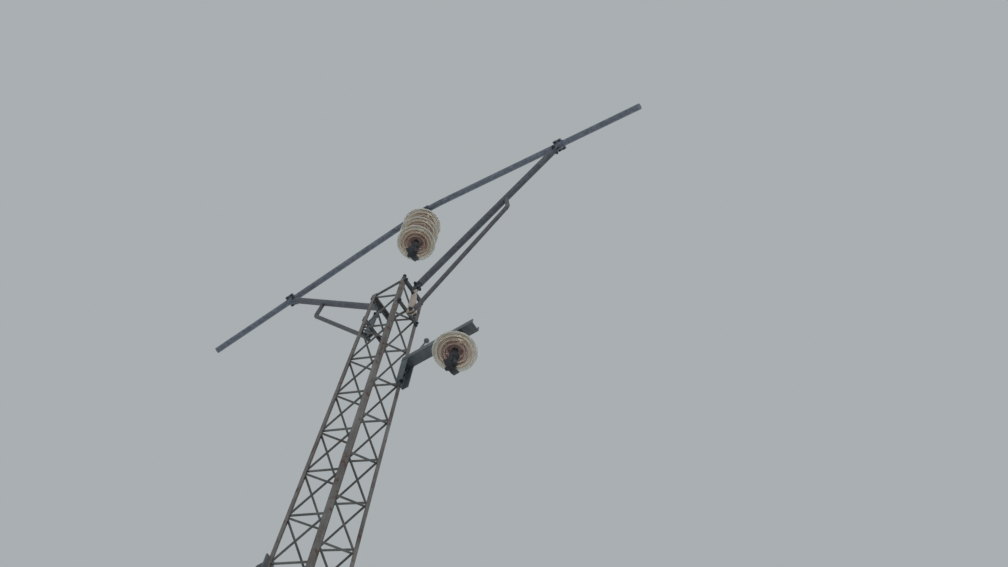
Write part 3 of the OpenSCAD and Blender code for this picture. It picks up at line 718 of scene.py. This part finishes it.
def seat_mesh(piece, matrix):
    """Moves a piece's mesh, and turns its faces outwards again after a mirror."""
    piece.data.transform(matrix)
    if matrix.determinant() < 0:
        piece.data.flip_normals()
    piece.data.update()


def hardware(name, body, tree_name, points, finish_name="bolt_zinc", **values):
    """A piece with a tree's shape at each (place, direction) pair, which rides on a body."""
    base = point_mesh(name + "_points", points)
    piece = grow(name, base, tree_name, Material=finish(finish_name), **values)
    smooth_by_angle(piece.data)
    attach(piece, body)
    return piece


def bolt_ends(name, body, points, shank, stand=SHANK_STAND):
    """Heads or nuts at (place, direction) pairs."""
    return hardware(name, body, "Hex bolt end", points, Shank=shank, Shank_stand=stand)


# ---------------- places on the mast


def mast_sizes():
    """Corner places and tapers of the mast, read from the front left leg's box."""
    low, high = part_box("leg_front_left")
    flange = bpy.context.scene.mast_frame.flange
    tall = high.z - low.z
    top_x, top_y = flange - high.x, flange - high.y
    return SimpleNamespace(
        foot=low.z, head=high.z, base_x=-low.x, base_y=-low.y, top_x=top_x, top_y=top_y,
        taper_x=(-low.x - top_x) / tall, taper_y=(-low.y - top_y) / tall,
    )


def half_depth(depth):
    """Half the mast's depth at a depth below the leg tops."""
    mast = mast_sizes()
    return mast.top_y + depth * mast.taper_y


def zigzags():
    """Each face's name, half width at the leg tops, taper, first side, first depth and number of bends."""
    lacing, mast = bpy.context.scene.mast_lacing, mast_sizes()
    for faces, half, taper, first, top in (
        (("front", "rear"), mast.top_x, mast.taper_x, -1.0, lacing.top),
        (("left", "right"), mast.top_y, mast.taper_y, 1.0, lacing.top + lacing.shift),
    ):
        bends = int((mast.head - mast.foot - top - lacing.floor) / (lacing.pitch / 2)) + 1
        for face in faces:
            yield face, half - lacing.inset, taper, first, top, bends


def face_matrix(face):
    """From a face's own frame (X along it, Y inwards, Z up it from the leg tops) to the mast's."""
    mast = mast_sizes()
    if face in ("front", "rear"):
        mirror = (0, 1, 0)
        seat = Matrix.Translation((0, -mast.top_y, mast.head))
        lean = Matrix.Rotation(-math.atan(mast.taper_y), 4, "X")
    else:
        mirror = (1, 0, 0)
        seat = Matrix.Translation((-mast.top_x, 0, mast.head))
        lean = Matrix.Rotation(math.atan(mast.taper_x), 4, "Y") @ Matrix.Rotation(-math.pi / 2, 4, "Z")
    if face in ("rear", "right"):
        seat = Matrix.Scale(-1, 4, mirror) @ seat
    return seat @ lean


def on_face(face, along, out_by, depth):
    """A point on a face, by its distances from the middle line, outwards and below the leg tops."""
    return face_matrix(face) @ Vector((along, -out_by, -depth))


def outwards(face):
    return (face_matrix(face).to_3x3() @ BACK).normalized()


def in_head(side, place):
    """A point of the crossarm's plane on one side of the mast."""
    return Vector((side * place[0], 0, mast_sizes().head + place[1]))


def both_ends(centre, axis, reach):
    return [(centre + axis * reach, axis), (centre - axis * reach, -axis)]


def seam(a, b, direction):
    """Places of weld pads from a to b along a straight seam."""
    a, b = Vector(a), Vector(b)
    count = max(2, int((b - a).length / SEAM_STEP))
    return [(a.lerp(b, i / (count - 1)), Vector(direction).normalized()) for i in range(count)]


def joint_place(name):
    return Vector(next(joint["pos_m"] for joint in frame["joints"] if joint["name"] == name))


# ---------------- operators


class MAST_OT_paint_legs(bpy.types.Operator):
    """Weathered paint on the leg angles, the ring round their tops and the base plate"""

    bl_idname = "mast.paint_legs"
    bl_label = "Paint the Legs"

    def execute(self, context):
        coat("leg_paint", "leg_front_left", "leg_front_right", "leg_rear_left", "leg_rear_right")
        coat("plate_paint", "base_plate")
        coat("lacing_paint", "head_ring")
        return {"FINISHED"}


class MAST_OT_coat_tubes(bpy.types.Operator):
    """Dull zinc on the arched tube and its saddles, the struts and the braces"""

    bl_idname = "mast.coat_tubes"
    bl_label = "Coat the Tubes"

    def execute(self, context):
        coat("arch_zinc", "arch_tube", "saddle_left", "saddle_right")
        coat("tube_zinc", "strut_left", "strut_right")
        coat("brace_zinc", "brace_left", "brace_right")
        return {"FINISHED"}


class MAST_OT_coat_fittings(bpy.types.Operator):
    """Zinc, primer and dark paint on the fittings, the brackets and the clamps; on the left head plate the
    dark paint is painted shade
    """

    bl_idname = "mast.coat_fittings"
    bl_label = "Coat the Fittings"

    def execute(self, context):
        coat(
            "fitting_zinc",
            "head_bars_left", "head_bars_right", "hanger_top", "hanger_side", "leg_top_stud",
            "top_ball_eye", "top_pins", "top_socket_eye", "top_straps",
            "side_ball_eye", "side_pin", "side_socket_eye", "side_straps",
        )
        coat("primer_paint", "head_plate_right")
        # The left head plate gets the dark bracket paint as painted shade; its mirror twin on the right gets
        # the pale primer
        coat("bracket_paint", "head_plate_left", "bracket_foot", "bracket_arm", "arm_pin", "anchor_bracket")
        coat("cap_iron", "top_caps", "side_cap")
        coat("clamp_alloy", "top_clamp_body", "top_clamp_keeper", "side_clamp_body", "side_clamp_keeper")
        return {"FINISHED"}


class MAST_OT_glaze_discs(bpy.types.Operator):
    """Toughened glass on the insulator discs"""

    bl_idname = "mast.glaze_discs"
    bl_label = "Glaze the Discs"

    def execute(self, context):
        give(toughened_glass("top_glass", joint_place("top_swing")), "top_shells")
        give(toughened_glass("side_glass", joint_place("side_swing")), "side_shell")
        return {"FINISHED"}


class MAST_OT_bend_lacing(bpy.types.Operator):
    """Round lacing rods with rounded bends in the four faces"""

    bl_idname = "mast.bend_lacing"
    bl_label = "Bend the Lacing"

    def execute(self, context):
        lacing = context.scene.mast_lacing
        for face, half, taper, first, top, bends in zigzags():
            path = bpy.data.meshes.new("lacing_path")
            rod = grow(
                "lacing_rod_" + face, path, "Lacing rod", Material=finish("lacing_paint"),
                Bends=bends, Half_pitch=lacing.pitch / 2, Top=top, Half_width=half, Taper=taper,
                First_side=first, Bend_radius=lacing.bend, Rod_radius=lacing.rod / 2, Sides=lacing.sides,
            )
            seat_mesh(rod, face_matrix(face) @ Matrix.Translation((0, lacing.depth, 0)))
            rod.data.shade_smooth()
            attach(rod, "mast")
            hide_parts("lacing_" + face)
        return {"FINISHED"}


class MAST_OT_weld_lacing(bpy.types.Operator):
    """A weld where each bend of the lacing lies on a leg"""

    bl_idname = "mast.weld_lacing"
    bl_label = "Weld the Lacing"

    def execute(self, context):
        lacing, welds = context.scene.mast_lacing, context.scene.mast_welds
        inside = -context.scene.mast_frame.wall - WELD_LIFT
        points = []
        for face, half, taper, first, top, bends in zigzags():
            for i in range(bends):
                depth = top + i * lacing.pitch / 2
                side = first * (1 if i % 2 == 0 else -1)
                middle = on_face(face, side * (half + depth * taper), inside, depth)
                points.append((middle, -outwards(face)))
        sizes = dict(Length=welds.pad, Height=welds.pad_height)
        pads = hardware("lacing_welds", "mast", "Weld pad", points, "weld_steel", **sizes)
        return {"FINISHED"}


class MAST_OT_weld_seams(bpy.types.Operator):
    """Welded seams at the legs' feet, the lugs and the side bracket"""

    bl_idname = "mast.weld_seams"
    bl_label = "Weld the Seams"

    def execute(self, context):
        welds = context.scene.mast_welds
        for name, points, finish_name in (
            ("foot_welds", self.feet(context), "leg_weld"),
            ("head_welds", self.head(context.scene.mast_places), "weld_steel"),
            ("bracket_welds", self.bracket(), "weld_steel"),
        ):
            sizes = dict(Length=welds.seam, Height=welds.seam_height)
            piece = hardware(name, "mast", "Weld pad", points, finish_name, **sizes)
        return {"FINISHED"}

    @staticmethod
    def feet(context):
        """Along both flanges of each angle, on the base plate."""
        mast, flange = mast_sizes(), context.scene.mast_frame.flange
        points = []
        for x, y in product(SIDES, SIDES):
            heel = Vector((x * mast.base_x, y * mast.base_y, mast.foot + WELD_LIFT))
            points += seam(heel, heel + Vector((-x * flange, 0, 0)), (0, y, 1))
            points += seam(heel, heel + Vector((0, -y * flange, 0)), (x, 0, 1))
        return points

    @staticmethod
    def head(places):
        """Beside the cheeks of the lugs, on the flat bars."""
        points = []
        for face, y in product(("left", "right"), SIDES):
            direction = outwards(face) + Vector((0, y, 0))
            along = y * (places.cheek + PART_GAP)
            for depth, reach in ((places.high_bar, HIGH_LUG_SEAM), (places.low_bar, LOW_LUG_SEAM)):
                ends = [on_face(face, -along, places.bar, depth + k * reach) for k in SIDES]
                for end in ends:
                    end.y = along
                points += seam(*ends, direction)
        return points

    @staticmethod
    def bracket():
        """Between the top of the bracket's foot and the arm."""
        low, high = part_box("bracket_arm")
        points = []
        for y, side in ((low.y, -1), (high.y, 1)):
            points += seam(*((low.x + x, y, low.z - WELD_LIFT) for x in ARM_SEAM), (0, side, -1))
        return points


class MAST_OT_bolt_head(bpy.types.Operator):
    """Nuts and bolt heads on the lugs, the flat bars, the gussets, the saddles and the collar"""

    bl_idname = "mast.bolt_head"
    bl_label = "Bolt the Head"

    def execute(self, context):
        places, sizes = context.scene.mast_places, context.scene.mast_bolts
        inset = context.scene.mast_frame.flange / 2
        lugs, bars, gussets, saddles = [], [], [], []
        for side, face in ((-1, "left"), (1, "right")):
            for joint in (places.strut_foot, places.strut_head, places.brace_foot):
                lugs += both_ends(in_head(side, joint), ALONG_LINE, places.cheek)
            for depth, y in product((places.high_bar, places.low_bar), SIDES):
                along = y * (half_depth(depth) - inset)
                bars.append((on_face(face, along, places.bar, depth), outwards(face)))
            middle = in_head(side, places.gusset) - Vector((0, GUSSET_SHIFT, 0))
            gussets += both_ends(middle, ALONG_LINE, GUSSET_HALF)
            normal = Vector((side * math.sin(places.slope), 0, math.cos(places.slope)))
            along_arm = Vector((side * math.cos(places.slope), 0, -math.sin(places.slope)))
            for x, y in SADDLE_BOLTS:
                ear = in_head(side, places.saddle) + along_arm * x + Vector((0, y, 0))
                saddles += both_ends(ear, normal, SADDLE_HALF)
        low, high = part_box("hanger_top")
        collar_top = Vector(((low.x + high.x) / 2, (low.y + high.y) / 2, high.z - PART_GAP))
        for piece in (
            bolt_ends("lug_nuts", "mast", lugs, sizes.lug),
            bolt_ends("bar_bolts", "mast", bars, sizes.bar),
            bolt_ends("gusset_bolts", "mast", gussets, sizes.bracket),
            bolt_ends("saddle_bolts", "mast", saddles, sizes.saddle),
            bolt_ends("collar_screw", "mast", [(collar_top, UP)], sizes.bar),
        ):
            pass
        return {"FINISHED"}


class MAST_OT_bolt_bracket(bpy.types.Operator):
    """Nuts and bolt heads on the side bracket and the anchor plate"""

    bl_idname = "mast.bolt_bracket"
    bl_label = "Bolt the Bracket"

    def execute(self, context):
        places, sizes = context.scene.mast_places, context.scene.mast_bolts
        low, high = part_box("bracket_arm")
        middle = (low.y + high.y) / 2
        foot, hung, anchor = [], [], []
        for depth in FOOT_BOLTS:
            at = on_face("right", 0, PART_GAP + places.web, places.arm + depth)
            foot.append((Vector((at.x, middle, at.z)), outwards("right")))
        pivot = joint_place("side_swing")
        plate_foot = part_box("hanger_side")[1].z - HANGER_PLATE
        for x, y in HANGER_BOLTS:
            hung.append((Vector((pivot.x + x, middle + y, low.z + places.web)), UP))
            hung.append((Vector((pivot.x + x, middle + y, plate_foot)), DOWN))
        low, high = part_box("anchor_bracket")
        height, across = (low.z + high.z) / 2, (low.y + high.y) / 2
        for rise in ANCHOR_BOLTS:
            at = on_face("left", 0, ANCHOR_FRONT, mast_sizes().head - height - rise)
            anchor.append((Vector((at.x, across, at.z)), outwards("left")))
        for piece in (
            bolt_ends("foot_bolts", "mast", foot, sizes.bracket),
            bolt_ends("hanger_bolts", "mast", hung, sizes.saddle),
            bolt_ends("anchor_bolts", "mast", anchor, sizes.bracket),
        ):
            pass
        return {"FINISHED"}


class MAST_OT_bolt_strings(bpy.types.Operator):
    """Nuts on the hanging pivots, straps, trunnions and clamp keepers, and split pins in the sockets"""

    bl_idname = "mast.bolt_strings"
    bl_label = "Bolt the Strings"

    def execute(self, context):
        sizes, spacing = context.scene.mast_bolts, context.scene.mast_places.disc
        for name, caps in (("top", "top_caps"), ("side", "side_cap")):
            pivot, trunnion = joint_place(name + "_swing"), joint_place(name + "_clamp_tilt")
            string, clamp = name + "_string", name + "_clamp"
            link = Vector((pivot.x, pivot.y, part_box(name + "_straps")[1].z - STRAP_EYE))
            for part, body, centre, axis, reach, shank, stand in (
                ("_pivot_nuts", "mast", pivot, ALONG_LINE, PIVOT_REACH, sizes.pivot, SHANK_STAND),
                ("_strap_nuts", string, link, ALONG_ARM, STRAP_REACH, sizes.lug, SHANK_STAND),
                ("_trunnion_nuts", clamp, trunnion, ALONG_ARM, TRUNNION_REACH, sizes.lug, SHORT_STAND),
            ):
                bolt_ends(name + part, body, both_ends(centre, axis, reach), shank, stand)
            studs = []
            for x, y in KEEPER_STUDS:
                studs.append((trunnion + Vector((x, 2 * y, KEEPER_TOP)), UP))
                studs.append((trunnion + Vector((x, y, KEEPER_FOOT)), DOWN))
            bolt_ends(name + "_keeper_nuts", clamp, studs, sizes.keeper, LONG_STAND)
            low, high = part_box(caps)
            discs = round((high.z - low.z) / spacing + 0.5)
            holes = [(CAP_PIN, high.z - i * spacing) for i in range(discs)]
            holes.append((SOCKET_PIN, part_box(name + "_socket_eye")[1].z))
            pins = [(Vector((pivot.x, pivot.y - reach, top - depth)), BACK) for (reach, depth), top in holes]
            hardware(name + "_split_pins", string, "Split pin", pins)
        return {"FINISHED"}


class MAST_OT_set_stage(bpy.types.Operator):
    """Camera at the photograph's angle, pale floor, plain backdrop and soft light"""

    bl_idname = "mast.set_stage"
    bl_label = "Set the Stage"

    def execute(self, context):
        scene = context.scene
        stage = scene.mast_stage
        scene.view_settings.view_transform = "Standard"
        self.set_camera(scene, stage)
        self.lay_floor(context, stage)
        self.hang_backdrop(scene, stage)
        for name, (place, size, watts, aim) in LAMPS.items():
            lamp = bpy.data.lights.new(name, "AREA")
            lamp.size = size
            lamp.energy = watts * stage.key
            holder = link_object(name, lamp)
            holder.location = place
            holder.rotation_euler = (Vector(aim) - Vector(place)).to_track_quat("-Z", "Y").to_euler()
        return {"FINISHED"}

    @staticmethod
    def set_camera(scene, stage):
        camera = link_object("camera", bpy.data.cameras.new("camera"))
        turn = Matrix((CAMERA_RIGHT, -CAMERA_DOWN, -CAMERA_AHEAD)).transposed().to_4x4()
        camera.matrix_world = Matrix.Translation(CAMERA_PLACE) @ turn
        camera.data.lens = stage.lens
        camera.data.sensor_width = SENSOR_MM
        camera.data.clip_end = CLIP_END
        scene.camera = camera

    @staticmethod
    def lay_floor(context, stage):
        bpy.ops.mesh.primitive_plane_add(size=FLOOR_SIZE)
        floor = context.object
        floor.name = "pale_floor"
        material, _, shader, _ = blank_material("pale_floor")
        feed_all(shader.inputs, Base_Color=tuple(stage.floor), Roughness=0.9)
        floor.data.materials.append(material)

    @staticmethod
    def hang_backdrop(scene, stage):
        """A plain colour where the backdrop is seen, and a fill light everywhere else."""
        scene.world = bpy.data.worlds.new("backdrop")
        scene.world.use_nodes = True
        tree = scene.world.node_tree
        tree.nodes.clear()
        light = out(tree, "ShaderNodeBackground", {"Color": LIGHT_TINT, "Strength": stage.fill})
        plain = out(tree, "ShaderNodeBackground", {"Color": tuple(stage.sky), "Strength": 1.0})
        rays = tree.nodes.new("ShaderNodeLightPath").outputs
        seen = maths("MAXIMUM", rays["Is Camera Ray"], rays["Is Glossy Ray"])
        seen = maths("MAXIMUM", seen, rays["Is Transmission Ray"])
        pick = out(tree, "ShaderNodeMixShader", {0: seen, 1: light, 2: plain})
        put(tree, "ShaderNodeOutputWorld", {"Surface": pick})


STEPS = (
    MAST_OT_paint_legs,
    MAST_OT_coat_tubes,
    MAST_OT_coat_fittings,
    MAST_OT_glaze_discs,
    MAST_OT_bend_lacing,
    MAST_OT_weld_lacing,
    MAST_OT_weld_seams,
    MAST_OT_bolt_head,
    MAST_OT_bolt_bracket,
    MAST_OT_bolt_strings,
    MAST_OT_set_stage,
)


class MAST_PT_sidebar(bpy.types.Panel):
    """Lists the steps that dress the mast, and their settings"""

    bl_idname = "MAST_PT_sidebar"
    bl_label = "Lattice Mast"
    bl_space_type = "VIEW_3D"
    bl_region_type = "UI"
    bl_category = "Mast"

    def draw(self, context):
        for step in STEPS:
            self.layout.operator(step.bl_idname)
        for name, kind in GROUPS.items():
            box = self.layout.box()
            settings = getattr(context.scene, name)
            for prop in kind.__annotations__:
                box.prop(settings, prop)


CLASSES = tuple(GROUPS.values()) + STEPS + (MAST_PT_sidebar,)


def register():
    for kind in CLASSES:
        bpy.utils.register_class(kind)
    for name, kind in GROUPS.items():
        setattr(bpy.types.Scene, name, PointerProperty(type=kind))


def unregister():
    for name in GROUPS:
        delattr(bpy.types.Scene, name)
    for kind in reversed(CLASSES):
        bpy.utils.unregister_class(kind)


def main():
    register()
    for step in STEPS:
        group, name = step.bl_idname.split(".")
        getattr(getattr(bpy.ops, group), name)()


if __name__ == "__main__":
    main()
